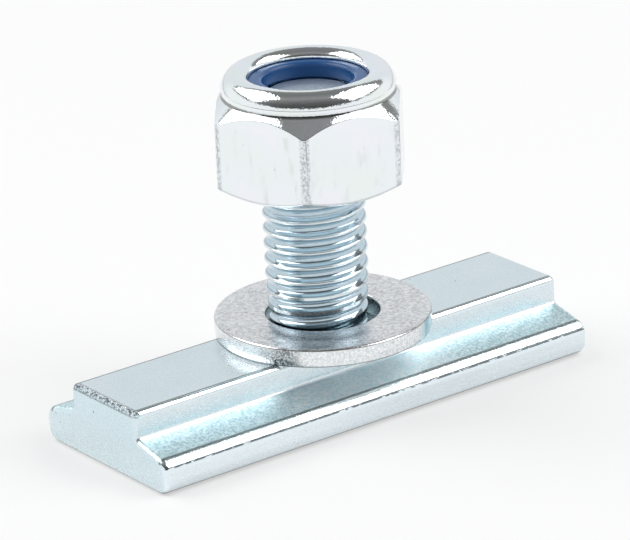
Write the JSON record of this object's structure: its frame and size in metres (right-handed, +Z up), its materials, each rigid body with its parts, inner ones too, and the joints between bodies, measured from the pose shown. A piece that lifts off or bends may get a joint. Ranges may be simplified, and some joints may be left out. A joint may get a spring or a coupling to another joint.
{
  "type": "t-head bolt",
  "caption": "Sliding T-head bolt: a stepped rectangular bar with a threaded stud standing from its middle, a flat washer round the stud and a hexagon lock nut with a nylon insert.",
  "frame": {"origin": "middle of the bar's underside, on the stud's axis", "axes": "+X along the bar, +Y across it, +Z up the stud"},
  "size_m": [0.05, 0.0206, 0.0327],
  "materials": {
    "bar_zinc": "satin blue-white zinc plating on a rolled bar, crystalline on the shoulders",
    "stud_zinc": "glossy blue-white zinc plating on rolled thread",
    "washer_zinc": "tumbled zinc plating with fine scuffs and a sheared, speckled edge",
    "nut_zinc": "bright zinc plating, mirror-like on the rolled crown",
    "blue_nylon": "smooth satin blue nylon"
  },
  "bodies": {
    "bolt": {"t_bar": "bar_zinc", "stud": "stud_zinc", "flat_washer": "washer_zinc"},
    "insert": {"nylon_insert": "blue_nylon"},
    "nut": {"lock_nut": "nut_zinc"}
  },
  "joints": [
    {"name": "nut_travel", "type": "slide", "parent": "bolt", "child": "insert", "axis": [0, 0, 1], "range_m": [-0.01313, 0.00751], "deforming": ["nylon_insert"]},
    {"name": "nut_turn", "type": "hinge", "parent": "insert", "child": "nut", "pos_m": [0, 0, 0.0219], "axis": [0, 0, 1], "range_deg": [-3150, 1800]}
  ],
  "couplings": [
    {"joint": "nut_travel", "follows": "nut_turn", "m_per_rad": 0.00023873}
  ]
}
